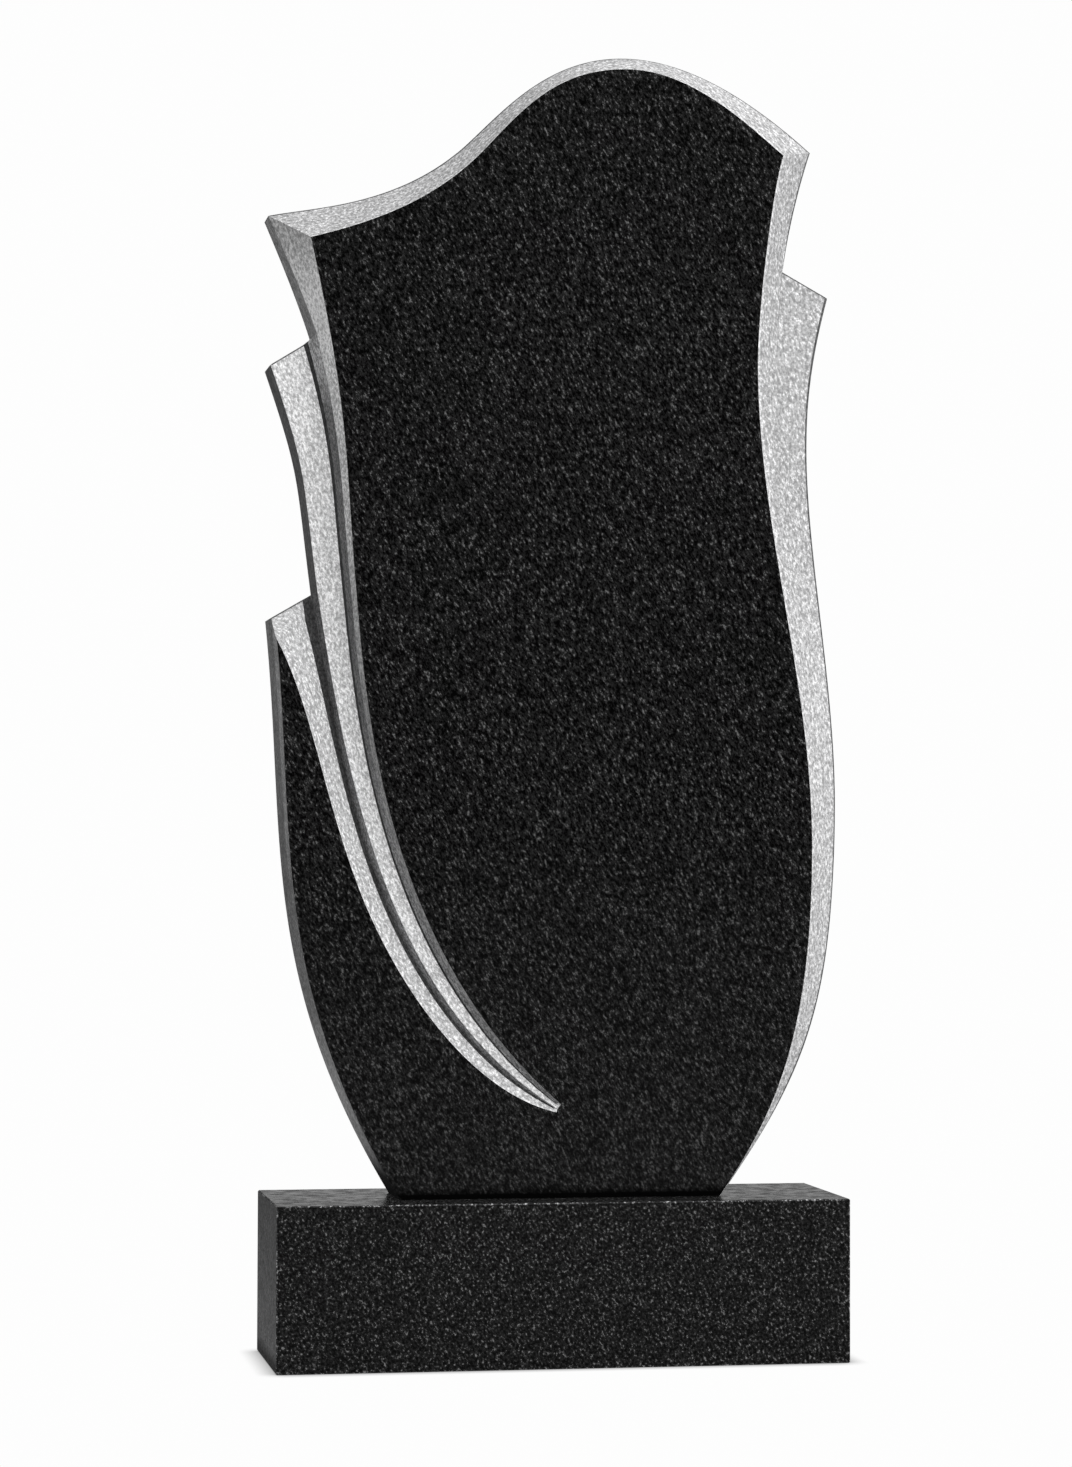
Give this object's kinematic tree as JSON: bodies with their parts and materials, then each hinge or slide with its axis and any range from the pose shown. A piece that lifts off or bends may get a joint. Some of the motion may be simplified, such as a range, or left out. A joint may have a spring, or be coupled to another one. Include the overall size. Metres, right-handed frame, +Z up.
{
  "type": "headstone",
  "caption": "Upright granite headstone: polished black slab with an asymmetric arched outline and frosted carved ribbons down its left side, standing on a plain rectangular plinth.",
  "frame": {"origin": "centre of the plinth's underside, within 2 mm of the bottom centre of the whole object's box", "axes": "+Z up, the polished front faces -Y, +X to the right of a viewer in front"},
  "size_m": [0.5055, 0.16, 1.141],
  "materials": {
    "plinth_granite": "polished black granite with fine grey flecks",
    "stele_granite": "polished black granite face with frosted light grey carving"
  },
  "bodies": {
    "root": {"plinth": "plinth_granite", "stele": "stele_granite"}
  },
  "joints": []
}
